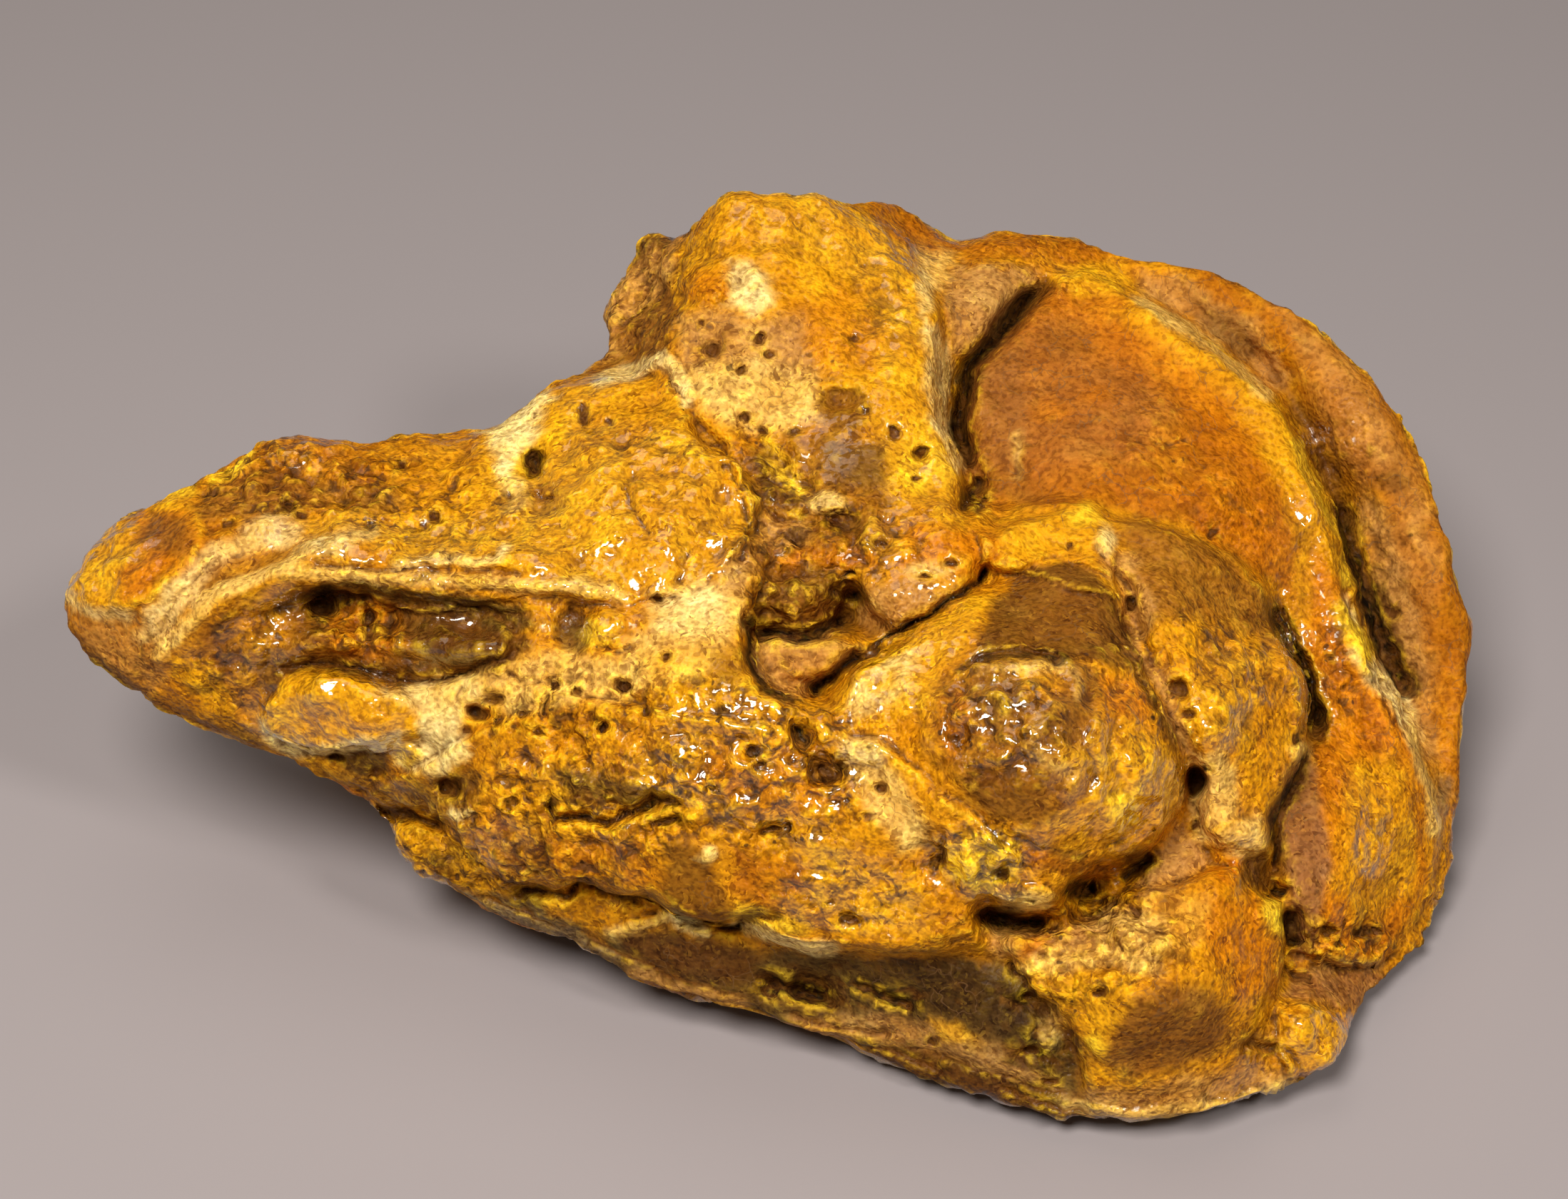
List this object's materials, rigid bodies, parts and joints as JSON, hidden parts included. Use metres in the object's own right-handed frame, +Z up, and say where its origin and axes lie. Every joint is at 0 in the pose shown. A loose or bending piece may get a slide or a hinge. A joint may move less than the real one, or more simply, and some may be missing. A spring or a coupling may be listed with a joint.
{
  "type": "raw amber piece",
  "caption": "Lump of raw amber with a crusted, cracked and pitted surface, tapering to a blunt snout, for display or as a set prop.",
  "frame": {"origin": "centre of the bounding box's underside, on the surface that the lump rests on", "axes": "+X along the lump from its snout to its broad end, +Z up, +Y from the front with the boss to the back"},
  "size_m": [0.1216, 0.08, 0.0496],
  "materials": {
    "amber_crust": "waxy honey to brown crust, glossy in places"
  },
  "bodies": {
    "root": {"raw_amber": "amber_crust"}
  },
  "joints": []
}
